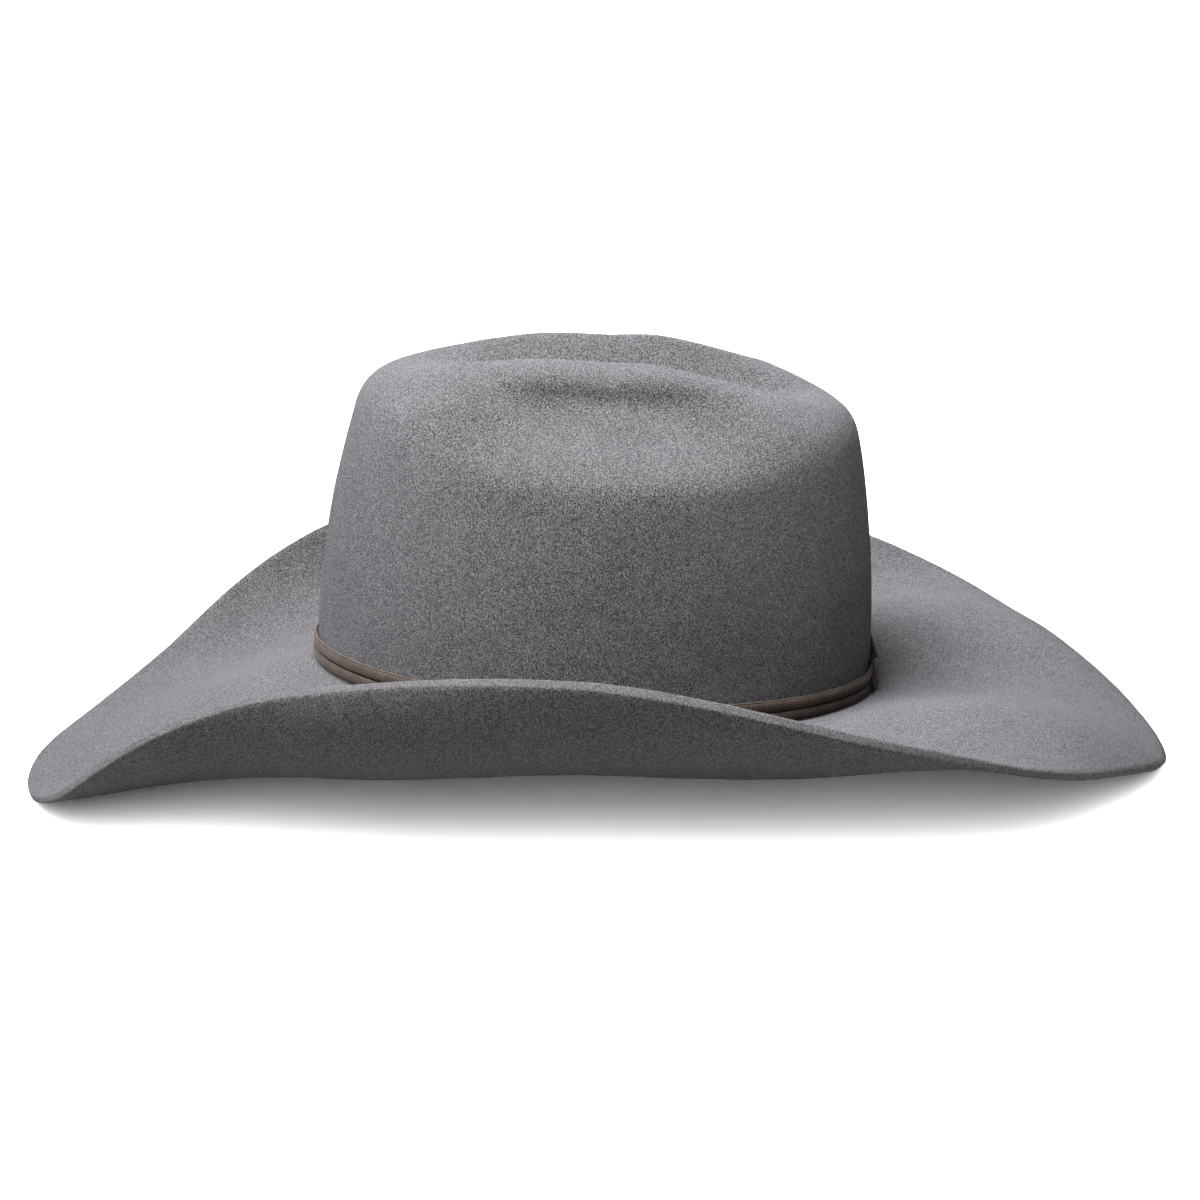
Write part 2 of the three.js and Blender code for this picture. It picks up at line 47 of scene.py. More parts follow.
# Crown and brim, the same driving values as the CAD model.
OVAL_LENGTH = 205.6
OVAL_WIDTH = 173.8
BREAK_DIP = 1.9
BREAK_SADDLE = 0.5
CROWN_HEIGHT = 122.5
TOP_FALL_BACK, TOP_RUN_BACK = 14, 52
TOP_FALL_FRONT, TOP_RUN_FRONT = 8, 62
SHOULDER_HEIGHT = (90, 74, 96)
SHOULDER_ROUND = (8, 2.4, 6)
SHOULDER_RISE = (3, 2, 3)
WALL_TAPER = (0.084, 0.09, 0.102)
TAPER_START, TAPER_SPAN, TAPER_POWER = 10, 83, 1.95
CREASE_DEPTH, CREASE_HALF_WIDTH, CREASE_HALF_LENGTH, CREASE_CENTRE = 22, 31, 84, 4
CREASE_POWER = 1.6
DENT_DEPTH, DENT_CENTRE, DENT_HALF_LENGTH = 18, 5, 66
DENT_HEIGHT, DENT_REACH_DOWN, DENT_REACH_UP = 103, 21, 16
RIDGE_LIFT, RIDGE_BACK_LIFT, RIDGE_BACK_RUN = 2.6, 1.8, 60
RIDGE_OUT, RIDGE_LOW, RIDGE_RISE = 34, 80, 30
BRIM_WIDTH, BRIM_SIDE_EXTRA = 117, 2.5
BRIM_ROOT_SLOPE = (4, 17, 0, -2, -13, -26, -25)
BRIM_EDGE_SLOPE = (-38, -38, 39, 83, 90, 3, -21)
BRIM_TURN = (2.3, 2.2, 2.1, 2.35, 2.5, 1.6, 1.3)
CROWN_FELT, BRIM_FELT = 2.4, 2.8
BREAK_ROUND = 2.2

# Trimmings, in the worn frame: "out" from the felt's outer face and "up" from the brim break.
RIB_PITCH = 0.9
BAND_LOW, BAND_HIGH = 0.9, 8.9
BACKING_IN, BACKING_OUT = 0.3, 0.62
CORD_CENTRES = {"band_cord_lower": 2.9, "band_cord_upper": 6.9}
CORD_OUT, CORD_HALF_THICK, CORD_HALF_HEIGHT = 1.28, 0.5, 1.78
PICOT_OUT, PICOT_RADIUS = 0.95, 0.2
BOW_CENTRE = 7.2
LOOP_START, LOOP_REACH, LOOP_NARROW, LOOP_WIDE = 2.9, 15.3, 2.6, 5.5
TAIL_START, TAIL_REACH, TAIL_HALF, TAIL_UP, TAIL_CLIMB = 0.8, 6.3, 1.7, 7.9, 1.4
KNOT_HALF = 4.4
TACK_OUT, TACK_HALF_UP, TACK_BOW, TACK_APART = 1.55, 1.25, 0.42, 0.006
LEATHER_OUT, LEATHER_IN, LEATHER_TOP = 3.9, 5.0, 54
ROLL_OUT, ROLL_IN, ROLL_LOW, ROLL_HIGH = 6.2, 7.2, 0.4, 7
REED_CENTRE, REED_UP, REED_RADIUS = 4.3, 1.3, 1.0
LINING_OUT, LINING_THICK, LINING_LOW = 2.7, 0.3, 26
TIP_LENGTH, TIP_WIDTH, TIP_HEIGHT, TIP_DOME = 122, 92, 82, 7
PIPING_RADIUS = 1.1
SHIELD_LENGTH, SHIELD_WIDTH, SHIELD_THICK = 96, 66, 0.3
SHIELD_LOW, SHIELD_DOME = TIP_HEIGHT + TIP_DOME * 0.35 - 0.7, TIP_DOME * 0.6
TAG_TURN, TAG_HALF_TURN = 22.5, 7.3  # degrees round from the back
TAG_OUT, TAG_THICK, TAG_LOW, TAG_HIGH = 3.3, 0.28, 40.3, 55.7
GAP = 0.3


# ---------------------------------------------------------------- stage: camera, lights and floor


def make_camera():
    """A long lens at the wearer's left, a little above the brim and a touch towards the back."""
    distance, height, aim = 1077.3 * MM, 296.6 * MM, 69.6 * MM
    yaw = radians(2.4)
    place = Vector((distance * cos(yaw), distance * sin(yaw), height))
    look = Vector((0, SHIFT * MM, aim)) - place
    data = bpy.data.cameras.new("camera")
    data.sensor_width = 36
    data.lens = 88.8
    data.shift_x = 0.0075
    data.shift_y = -0.0245
    data.clip_end = 100
    camera = bpy.data.objects.new("camera", data)
    turn = look.to_track_quat("-Z", "Y").to_matrix() @ Matrix.Rotation(radians(-1.13), 3, "Z")
    camera.matrix_world = Matrix.Translation(place) @ turn.to_4x4()
    bpy.context.scene.collection.objects.link(camera)
    bpy.context.scene.camera = camera


def sun(name, towards, power, spread, colour, lights_only=None):
    """Light from far away, so that the floor is lit evenly; power is relative to a white surface."""
    data = bpy.data.lights.new(name, "SUN")
    data.energy = power * pi
    data.angle = radians(spread)
    data.color = colour
    light = bpy.data.objects.new(name, data)
    light.rotation_euler = Vector(towards).to_track_quat("Z", "Y").to_euler()
    bpy.context.scene.collection.objects.link(light)
    if lights_only:
        group = bpy.data.collections.new(name + "_lights_only")
        group.objects.link(lights_only)
        light.light_linking.receiver_collection = group


def softbox(name, location, aim, size, beam, watts):
    """A near light over the crown, which it lights more than the brim; its beam is in degrees."""
    data = bpy.data.lights.new(name, "AREA")
    data.energy = watts
    data.size = size
    data.spread = radians(beam)
    light = bpy.data.objects.new(name, data)
    light.location = location
    light.rotation_euler = (Vector(location) - Vector(aim)).to_track_quat("Z", "Y").to_euler()
    light.visible_camera = False
    bpy.context.scene.collection.objects.link(light)


def make_light(floor):
    """A big soft light overhead, a softbox near the crown, and a low fill for the floor alone."""
    world = bpy.data.worlds.new("studio")
    world.use_nodes = True
    background = world.node_tree.nodes["Background"]
    background.inputs["Color"].default_value = (0.95, 0.95, 1.0, 1)
    background.inputs["Strength"].default_value = 0.18
    bpy.context.scene.world = world
    bpy.context.scene.view_settings.view_transform = "Standard"
    sun("overhead", (0.2, -0.42, 1), 2.35, 40, (0.97, 0.97, 1.0))
    softbox("crown_softbox", (0.17, -0.03, 0.5), (0, 0, 0.12), 0.28, 80, 1.0)
    sun("floor_fill", (0.86, 0, 0.5), 4.0, 46, (1, 1, 1), lights_only=floor)


# ---------------------------------------------------------------- shader maths as Python expressions


class Value:
    """A shader value. Arithmetic on it adds Math nodes to its finish."""

    def __init__(self, finish, socket):
        self.finish = finish
        self.socket = socket

    def _math(self, operation, *inputs):
        return self.finish.node("ShaderNodeMath", {"operation": operation}, inputs)

    def __add__(self, other):
        return self._math("ADD", self, other)

    __radd__ = __add__

    def __mul__(self, other):
        return self._math("MULTIPLY", self, other)

    __rmul__ = __mul__

    def __sub__(self, other):
        return self._math("SUBTRACT", self, other)

    def __rsub__(self, other):
        return self._math("SUBTRACT", other, self)

    def above(self, low, high):
        """0 below low, 1 above high, smooth between."""
        settings = {"interpolation_type": "SMOOTHSTEP"}
        return self.finish.node("ShaderNodeMapRange", settings, [self, low, high, 0.0, 1.0])


class Finish:
    """One procedural material: a Principled shader and the nodes that feed it."""

    def __init__(self, name, **constants):
        self.material = bpy.data.materials.new(name)
        self.material.use_nodes = True
        self.tree = self.material.node_tree
        self.shader = self.tree.nodes["Principled BSDF"]
        for socket, value in constants.items():
            self.shader.inputs[socket.replace("_", " ")].default_value = value
        self.where = self.node("ShaderNodeTexCoord", {}, [], "Object")

    def node(self, kind, settings, inputs, out=0):
        made = self.tree.nodes.new(kind)
        for name, value in settings.items():
            setattr(made, name, value)
        pairs = inputs.items() if isinstance(inputs, dict) else enumerate(inputs)
        for key, value in pairs:
            if isinstance(value, Value):
                self.tree.links.new(value.socket, made.inputs[key])
            else:
                made.inputs[key].default_value = value
        return Value(self, made.outputs[out])

    def feed(self, socket, value):
        self.tree.links.new(value.socket, self.shader.inputs[socket])

    def noise(self, scale, detail=2.0, roughness=0.5, where=None, distortion=0.0):
        inputs = {
            "Vector": where or self.where,
            "Scale": scale,
            "Detail": detail,
            "Roughness": roughness,
            "Distortion": distortion,
        }
        return self.node("ShaderNodeTexNoise", {}, inputs)

    def stretched(self, scale):
        """Object coordinates drawn out along the axes with the smaller numbers."""
        settings = {"operation": "MULTIPLY"}
        return self.node("ShaderNodeVectorMath", settings, [self.where, scale])

    def mix(self, amount, low, high):
        return self.node("ShaderNodeMix", {"data_type": "RGBA"}, {0: amount, 6: low, 7: high}, 2)

    def bump(self, height, distance, strength=1.0):
        inputs = {"Strength": strength, "Distance": distance, "Height": height}
        return self.node("ShaderNodeBump", {}, inputs)


def rgb(red, green, blue):
    return (red, green, blue, 1.0)


def wool_felt():
    """Heathered grey wool felt: pale and dark fibres felted together, paler where it is cut."""
    finish = Finish("wool_felt", Sheen_Weight=0.15, Sheen_Roughness=0.35, Specular_IOR_Level=0.12)
    finish.shader.inputs["Sheen Tint"].default_value = rgb(0.9, 0.88, 1.0)
    grain = finish.noise(1900, 3, 0.75)
    fibres = finish.noise(800, 5, 0.85, distortion=1.8)
    flecks = finish.noise(2600, 1, 0.6)
    cloud = finish.noise(60, 3, 0.55)
    blend = (grain * 0.65 + fibres * 0.35 + (cloud - 0.5) * 0.04).above(0.43, 0.6)
    ground = finish.mix(blend, rgb(0.026, 0.0245, 0.024), rgb(0.21, 0.205, 0.212))
    pale = flecks.above(0.62, 0.72)
    cut = finish.node("ShaderNodeAttribute", {"attribute_name": "cut"}, [], "Fac")
    brushed = finish.mix(pale * 0.7, ground, rgb(0.42, 0.41, 0.42))
    finish.feed("Base Color", finish.mix(cut * 0.2, brushed, rgb(0.34, 0.33, 0.34)))
    finish.feed("Roughness", 0.84 + cloud * 0.13)
    finish.feed("Normal", finish.bump(grain + fibres * 0.8 + flecks * 0.4, 0.0009, 1.0))
    return finish.material


def grosgrain(name, gap_shade, dark, light):
    """Ribbed ribbon: matt taupe yarn on the ribs, and painted shade in the gaps between them."""
    finish = Finish(name, Sheen_Weight=0.15, Sheen_Roughness=0.4, Specular_IOR_Level=0.2)
    yarn = finish.noise(2600, 3, 0.7)
    shade = finish.noise(160, 2, 0.5)
    rib = finish.node("ShaderNodeAttribute", {"attribute_name": "rib"}, [], "Fac")
    colour = finish.mix((yarn * 0.6 + shade * 0.4).above(0.35, 0.65), dark, light)
    # Where the rib mark is low, between the ribs, the colour is the gap colour: painted shade.
    finish.feed("Base Color", finish.mix(rib.above(0.4, 0.95), gap_shade, colour))
    finish.feed("Roughness", 0.66 + yarn * 0.2)
    finish.feed("Normal", finish.bump(yarn, 0.00008, 0.6))
    return finish.material


def thread(name, colour):
    """Twisted sewing thread."""
    finish = Finish(name, Sheen_Weight=0.2, Specular_IOR_Level=0.3)
    twist = finish.noise(3200, 2, 0.6)
    dark = rgb(*(0.6 * c for c in colour[:3]))
    finish.feed("Base Color", finish.mix(twist.above(0.3, 0.7), dark, colour))
    finish.feed("Roughness", 0.5 + twist * 0.25)
    finish.feed("Normal", finish.bump(twist, 0.00006, 0.6))
    return finish.material


def leather():
    """Smooth sweatband leather: fine pores, faint creases and a slight gloss."""
    finish = Finish("sweatband_leather", Specular_IOR_Level=0.45)
    cell_inputs = {"Vector": finish.where, "Scale": 900.0}
    pores = finish.node("ShaderNodeTexVoronoi", {"feature": "DISTANCE_TO_EDGE"}, cell_inputs)
    tone = finish.noise(45, 4, 0.6)
    fine = finish.noise(700, 3, 0.6)
    base = finish.mix(tone.above(0.25, 0.75), rgb(0.17, 0.088, 0.042), rgb(0.3, 0.17, 0.088))
    grain = pores.above(0.0, 0.12)
    finish.feed("Base Color", finish.mix(1 - grain, base, rgb(0.12, 0.06, 0.03)))
    finish.feed("Roughness", 0.42 + fine * 0.22)
    finish.feed("Normal", finish.bump(grain + fine * 0.5, 0.00012, 0.5))
    return finish.material


def satin(name, dark, light):
    """Lining satin: dark and lustrous, with a fine weave."""
    finish = Finish(name, Sheen_Weight=0.35, Sheen_Roughness=0.25, Specular_IOR_Level=0.6)
    weave = finish.noise(1.0, 2, 0.5, finish.stretched((900, 900, 5200)))
    wash = finish.noise(70, 2, 0.5)
    finish.feed("Base Color", finish.mix((weave * 0.5 + wash * 0.5).above(0.3, 0.7), dark, light))
    finish.feed("Roughness", 0.28 + weave * 0.18)
    finish.feed("Normal", finish.bump(weave, 0.00005, 0.5))
    return finish.material


def cotton_tape():
    """Dark woven tape with a fine, even weave."""
    finish = Finish("cotton_tape", Sheen_Weight=0.2, Specular_IOR_Level=0.2)
    weave = finish.noise(1.0, 2, 0.6, finish.stretched((2200, 2200, 900)))
    colour = finish.mix(weave.above(0.35, 0.65), rgb(0.02, 0.019, 0.018), rgb(0.065, 0.062, 0.058))
    finish.feed("Base Color", colour)
    finish.feed("Roughness", 0.78 + weave * 0.15)
    finish.feed("Normal", finish.bump(weave, 0.0001, 0.7))
    return finish.material


def reed_plastic():
    """Cream plastic with a dull gloss."""
    finish = Finish("reed_plastic", Specular_IOR_Level=0.5)
    haze = finish.noise(300, 3, 0.5)
    finish.feed("Base Color", finish.mix(haze, rgb(0.5, 0.47, 0.4), rgb(0.74, 0.7, 0.62)))
    finish.feed("Roughness", 0.3 + haze * 0.2)
    return finish.material


def clear_film():
    """Clear plastic film: mostly see-through, with a gloss and faint handling haze."""
    finish = Finish("shield_film", Specular_IOR_Level=0.7, Coat_Weight=0.4)
    haze = finish.noise(60, 4, 0.6)
    finish.feed("Base Color", finish.mix(haze, rgb(0.7, 0.73, 0.76), rgb(0.85, 0.87, 0.9)))
    finish.feed("Alpha", 0.12 + haze.above(0.4, 0.8) * 0.1)
    finish.feed("Roughness", 0.06 + haze * 0.1)
    return finish.material


def tag_paper():
    """Blank cream label paper."""
    finish = Finish("tag_paper", Specular_IOR_Level=0.2)
    pulp = finish.noise(800, 4, 0.7)
    finish.feed("Base Color", finish.mix(pulp, rgb(0.66, 0.63, 0.56), rgb(0.82, 0.79, 0.72)))
    finish.feed("Roughness", 0.85 + pulp * 0.1)
    finish.feed("Normal", finish.bump(pulp, 0.00005, 0.5))
    return finish.material


# ---------------------------------------------------------------- the hat's surface


def from_stations(values, phi):
    """Smooth curve through values given evenly from the back (phi = 0) to the front."""
    last = len(values) - 1
    table = np.array(values, float)
    place = np.abs(np.arctan2(np.sin(phi), np.cos(phi))) / pi * last
    k = np.minimum(place.astype(int), last - 1)
    t = place - k

    def at(i):
        i = np.abs(i)
        return table[np.where(i > last, 2 * last - i, i)]

    a, b, c, d = at(k - 1), at(k), at(k + 1), at(k + 2)
    cubic = -a + 3 * b - 3 * c + d
    square = 2 * a - 5 * b + 4 * c - d
    return 0.5 * (2 * b + (c - a) * t + square * t * t + cubic * t**3)


def from_three(values, phi):
    """Smooth values round the hat, given at the back, the sides and the front."""
    back, side, front = values
    c = np.cos(phi)
    return side + (np.where(c > 0, back, front) - side) * c * c


def break_line(phi):
    """The line where the crown meets the brim, and the way out from it."""
    a, b = OVAL_LENGTH / 2, OVAL_WIDTH / 2
    outward = np.stack([np.sin(phi) / b, np.cos(phi) / a, 0 * phi], -1)
    outward /= np.linalg.norm(outward, axis=-1, keepdims=True)
    z = -BREAK_DIP * np.cos(phi) + BREAK_SADDLE * np.cos(2 * phi)
    return np.stack([b * np.sin(phi), a * np.cos(phi), z], -1), outward


def taper(phi, z):
    """How far the crown wall has drawn in at a height, 1 at the break."""
    rise = np.maximum(0, z - TAPER_START) / TAPER_SPAN
    return 1 - from_three(WALL_TAPER, phi) * rise**TAPER_POWER


def on_wall(phi, out, up):
    """Points "up" above the break on the crown wall, moved "out" from the felt's outer face."""
    phi, out, up = np.broadcast_arrays(np.asarray(phi, float), out, up)
    at, outward = break_line(phi)
    z = at[..., 2] + up
    scale = taper(phi, z)
    x = at[..., 0] * scale + outward[..., 0] * out
    y = at[..., 1] * scale + outward[..., 1] * out
    return np.stack([x, y, z], -1)


def top_height(y):
    """Height of the blocked crown's top along its middle, before it is creased."""
    fall = np.where(y > 0, TOP_FALL_BACK, TOP_FALL_FRONT)
    run = np.where(y > 0, TOP_RUN_BACK, TOP_RUN_FRONT)
    return CROWN_HEIGHT - fall * (1 - np.exp(-((y / run) ** 2)))


def press_crown(p):
    """Presses the centre crease and the side dents into the crown, and lifts the right ridge a little."""
    x, y, z = p[..., 0], p[..., 1], p[..., 2]
    across = np.abs(x) / CREASE_HALF_WIDTH
    along = np.abs(y - CREASE_CENTRE) / CREASE_HALF_LENGTH
    reach = np.minimum(1, np.cbrt(across**3 + along**3))
    crease = CREASE_DEPTH * (1 - reach**2) ** CREASE_POWER
    dent_along = np.minimum(1, np.abs(y - DENT_CENTRE) / DENT_HALF_LENGTH)
    dent_reach = np.where(z > DENT_HEIGHT, DENT_REACH_UP, DENT_REACH_DOWN)
    dent_up = np.minimum(1, np.abs(z - DENT_HEIGHT) / dent_reach)
    dent = DENT_DEPTH * (1 - dent_along**3) ** 2 * (1 - dent_up**2) ** 2
    side = np.tanh(x / CREASE_HALF_WIDTH) / np.tanh(2)
    right = np.clip(-x / RIDGE_OUT, 0, 1)
    high = np.clip((z - RIDGE_LOW) / RIDGE_RISE, 0, 1)
    lift = right**2 * high**2 * (RIDGE_LIFT + RIDGE_BACK_LIFT * np.clip(y / RIDGE_BACK_RUN, -1, 1))
    return np.stack([x - side * dent, y, z - crease + lift], -1)


def spread_evenly(fine, count):
    """Picks count points evenly along each column of a (points, columns, 3) array, from its start."""
    step = np.linalg.norm(np.diff(fine, axis=0), axis=-1)
    walked = np.vstack([np.zeros(fine.shape[1]), np.cumsum(step, 0)])
    picked = np.empty((count, fine.shape[1], 3))
    for c in range(fine.shape[1]):
        goals = walked[-1, c] * np.arange(count) / count
        for axis in range(3):
            picked[:, c, axis] = np.interp(goals, walked[:, c], fine[:, c, axis])
    return picked


def crown_rows(phi, wall_rows, top_rows):
    """Rings of the crown from just above the break to near the apex."""
    shoulder = from_three(SHOULDER_HEIGHT, phi)
    round_, rise = from_three(SHOULDER_ROUND, phi), from_three(SHOULDER_RISE, phi)
    at, _ = break_line(phi)
    share = (np.arange(wall_rows) / wall_rows)[:, None]
    wall = on_wall(phi, 0, BREAK_ROUND + (shoulder - at[:, 2] - BREAK_ROUND) * share)
    turn = ((pi / 2) * np.linspace(0, 1, 481) ** 1.5)[:, None]
    ratio = np.clip(np.cos(turn), 0, 1) ** (2 / round_)
    top = top_height(at[:, 1] * ratio * 0.9)
    z = shoulder + (top - shoulder) * np.sin(turn) ** (2 / rise)
    scale = taper(phi, z) * ratio
    fine = np.stack([at[:, 0] * scale, at[:, 1] * scale, z], -1)
    return np.concatenate([wall, press_crown(spread_evenly(fine, top_rows))])


def brim_rows(phi, rows):
    """Rings of the brim from just outside the break to the edge."""
    at, outward = break_line(phi)
    root = np.radians(from_stations(BRIM_ROOT_SLOPE, phi))
    edge = np.radians(from_stations(BRIM_EDGE_SLOPE, phi))
    turn = from_stations(BRIM_TURN, phi)
    width = BRIM_WIDTH - BRIM_SIDE_EXTRA * np.cos(2 * phi)
    fine = rows * 4
    place = ((np.arange(fine) + 0.5) / fine)[:, None]
    slope = root + (edge - root) * place**turn
    out = np.cumsum(np.cos(slope) * width / fine, 0)
    up = np.cumsum(np.sin(slope) * width / fine, 0)
    path = at + outward * out[..., None]
    path[..., 2] += up
    return path[3::4]


def ring_normals(rings):
    """Outward normals of rings that run from the brim's edge to the crown's top."""
    across = np.roll(rings, -1, 1) - np.roll(rings, 1, 1)
    upward = np.gradient(rings, axis=0)
    normal = np.cross(upward, across)
    return normal / np.maximum(np.linalg.norm(normal, axis=-1, keepdims=True), 1e-9)


def relief(points, size, seed):
    """Smooth seeded unevenness of about plus or minus one, with features of the size given."""
    shift = Vector((seed * 17.3, seed * 5.1, seed * 9.7))
    flat = points.reshape(-1, 3) / size
    values = [noise.noise(Vector(p) + shift) for p in flat]
    return np.array(values).reshape(points.shape[:-1])


# ---------------------------------------------------------------- mesh building


def to_world(points):
    """Tips the worn-frame points to the resting hat and turns millimetres into metres."""
    x, y, z = points[..., 0], points[..., 1], points[..., 2]
    back = y * cos(TIP) + z * sin(TIP) + SHIFT
    up = z * cos(TIP) - y * sin(TIP) + LIFT
    return np.stack([x, back, np.maximum(up, 0.0)], -1) * MM


def make_piece(name, points, faces, finish, node=None):
    mesh = bpy.data.meshes.new(name)
    mesh.from_pydata(to_world(np.asarray(points, float)).tolist(), [], faces)
    mesh.validate()
    mesh.update()
    mesh.shade_smooth()
    piece = bpy.data.objects.new(name, mesh)
    piece.data.materials.append(finish)
    bpy.context.scene.collection.objects.link(piece)
    face_outwards(piece)
    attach(piece, "root")
    if node:
        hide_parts(node)
    return piece


def face_outwards(piece):
    """Turns the whole mesh round if its faces point inwards."""
    mesh = piece.data
    count = len(mesh.polygons)
    centres, normals, areas = np.empty(count * 3), np.empty(count * 3), np.empty(count)
    mesh.polygons.foreach_get("center", centres)
    mesh.polygons.foreach_get("normal", normals)
    mesh.polygons.foreach_get("area", areas)
    volume = np.sum(centres.reshape(-1, 3) * normals.reshape(-1, 3), 1) @ areas
    if volume < 0:
        mesh.flip_normals()


def mark(piece, name, values):
    """Stores a value at each vertex, which the piece's finish reads by its name."""
    marks = piece.data.attributes.new(name, "FLOAT", "POINT")
    marks.data.foreach_set("value", np.asarray(values, np.float32).ravel())


def ring_faces(rings, count, wrap=False, start=0):
    """Quads between rings of count points each."""
    faces = []
    for j in range(rings if wrap else rings - 1):
        this, next_ = start + j * count, start + (j + 1) % rings * count
        for i in range(count):
            k = (i + 1) % count
            faces.append((this + i, this + k, next_ + k, next_ + i))
    return faces


def make_hoop(name, section, finish, node=None):
    """A closed ring: section is (corners, stations, 3) points."""
    corners, count = section.shape[:2]
    faces = ring_faces(corners, count, wrap=True)
    return make_piece(name, section.reshape(-1, 3), faces, finish, node)


def make_bowl(name, rings, first, last, finish, node=None):
    """A skin from one pole, over its rings and to the other pole."""
    total, count = rings.shape[:2]
    points = np.vstack([rings.reshape(-1, 3), first, last])
    faces = ring_faces(total, count)
    first_pole, last_pole = total * count, total * count + 1
    end = (total - 1) * count
    for i in range(count):
        k = (i + 1) % count
        faces.append((first_pole, k, i))
        faces.append((last_pole, end + i, end + k))
    return make_piece(name, points, faces, finish, node)


def make_bar(name, sections, finish, node=None):
    """A swept bar: sections is (stations, corners, 3), capped at both ends."""
    stations, corners = sections.shape[:2]
    faces = ring_faces(stations, corners)
    faces.append(tuple(reversed(range(corners))))
    faces.append(tuple((stations - 1) * corners + i for i in range(corners)))
    return make_piece(name, sections.reshape(-1, 3), faces, finish, node)


def around(count):
    return 2 * pi * np.arange(count) / count


def oval_section(corners, half_out, half_up):
    turn = around(corners)
    return np.cos(turn) * half_out, np.sin(turn) * half_up


# ---------------------------------------------------------------- felt body


FELT_AROUND = 320
BRIM_ROWS, WALL_ROWS, TOP_ROWS = 40, 30, 54
EDGE_ROWS = 6
EDGE_SLANT, EDGE_SWELL, EDGE_ROUGH = 1.9, 0.3, 0.16


def break_corner(crown_start, brim_start):
    """Rows of the rounded corner between the brim and the crown wall, from the brim upwards."""
    corner, _ = break_line(around(FELT_AROUND))
    rows = []
    for t in (0.2, 0.4, 0.6, 0.8):
        low = brim_start + (corner - brim_start) * t
        high = corner + (crown_start - corner) * t
        rows.append(low + (high - low) * t)
    return np.array(rows)


def make_felt(finish):
    """Crown and brim in one skin of felt, with its thickness, its unevenness and its cut edge."""
    phi = around(FELT_AROUND)
    crown = crown_rows(phi, WALL_ROWS, TOP_ROWS)
    brim = brim_rows(phi, BRIM_ROWS)[::-1]
    corner = break_corner(crown[0], brim[-1])
    outer = np.concatenate([brim, corner, crown])
    normal = ring_normals(outer)
    # Blocked and brushed by hand: the surface is never quite even, and calmest under the band.
    calm = np.ones(len(outer))
    calm[BRIM_ROWS - 2 : BRIM_ROWS + 9] = 0.15
    waver = 0.34 * relief(outer, 34, 1) + 0.13 * relief(outer, 7, 2) + 0.07 * relief(outer, 2.4, 3)
    outer = outer + normal * (waver * calm[:, None])[..., None]
    thick = np.where(np.arange(len(outer)) < BRIM_ROWS, BRIM_FELT, CROWN_FELT)
    inner = outer - normal * thick[:, None, None]
    edge = raw_edge(outer, inner)
    rings = np.concatenate([outer[::-1], edge, inner])
    apex = press_crown(np.array([0.0, 0.0, float(top_height(0.0))]))
    under = apex - np.array([0, 0, CROWN_FELT])
    hat = make_bowl("felt_hat", rings, apex, under, finish, "felt_body")
    cut = np.zeros((len(rings), FELT_AROUND), np.float32)
    cut[len(outer) : len(outer) + EDGE_ROWS] = 1
    mark(hat, "cut", np.append(cut.ravel(), (0, 0)))


def raw_edge(outer, inner):
    """Rows across the brim's raw-cut edge, its corners worn round, cut at a slant where it is rolled up."""
    beyond = outer[0] - outer[1]
    beyond /= np.linalg.norm(beyond, axis=-1, keepdims=True)
    inner[0] -= beyond * (EDGE_SLANT * np.clip(beyond[:, 2], 0, 1))[:, None]
    rows = []
    for k in range(1, EDGE_ROWS + 1):
        t = k / (EDGE_ROWS + 1)
        swell = EDGE_SWELL * (4 * t * (1 - t)) ** 0.25
        line = outer[0] + (inner[0] - outer[0]) * t
        rough = EDGE_ROUGH * relief(line, 0.9, 5 + k)
        rows.append(line + beyond * (swell + rough)[:, None])
    return np.array(rows)


# ---------------------------------------------------------------- hat band and bow


def ribs(count, per_rib):
    """Height of the ribs at each station along a ribbon, 0 in the gaps and 1 on top."""
    return np.abs(np.sin(pi * np.arange(count) / per_rib)) ** 0.7


def make_band(ribbon, cord, picot):
    perimeter = pi * (OVAL_LENGTH + OVAL_WIDTH) / 2
    phi = around(round(perimeter / RIB_PITCH) * 4)
    rib = ribs(len(phi), 4)
    make_backing(phi, rib, ribbon)
    make_cords(phi, rib, cord)
    make_picots(phi, rib, picot)


def make_backing(phi, rib, finish):
    """The flat ribbon behind the cords."""
    middle = (BAND_LOW + BAND_HIGH) / 2
    face = [(BACKING_OUT, BAND_LOW), (BACKING_OUT + 0.04, middle), (BACKING_OUT, BAND_HIGH)]
    corners = [(BACKING_IN, BAND_LOW), *face, (BACKING_IN, BAND_HIGH), (BACKING_IN, middle)]
    rows = []
    for out, up in corners:
        swell = 0.06 * rib if out > BACKING_IN else 0
        rows.append(on_wall(phi, out + swell, up))
    backing = make_hoop("band_backing", np.array(rows), finish, "band_ribbon")
    # The backing's rib marks are scaled down, so most of it is painted in the gap shade, darker between the
    # cords.
    mark(backing, "rib", np.tile(rib * 0.6, len(rows)))


def make_cords(phi, rib, finish):
    """The two cords folded into the ribbon by hand, so that each wanders a little."""
    outs, ups = oval_section(12, CORD_HALF_THICK, CORD_HALF_HEIGHT)
    for seed, (name, centre) in enumerate(CORD_CENTRES.items()):
        wander = 0.1 * relief(on_wall(phi, 0, centre), 28, 21 + seed)
        rows = []
        for out, up in zip(outs, ups):
            height = centre + wander + up * (0.98 + 0.03 * rib)
            rows.append(on_wall(phi, CORD_OUT + out * (0.8 + 0.3 * rib), height))
        piece = make_hoop(name + "_ribbed", np.array(rows), finish, name)
        mark(piece, "rib", np.tile(rib, len(rows)))


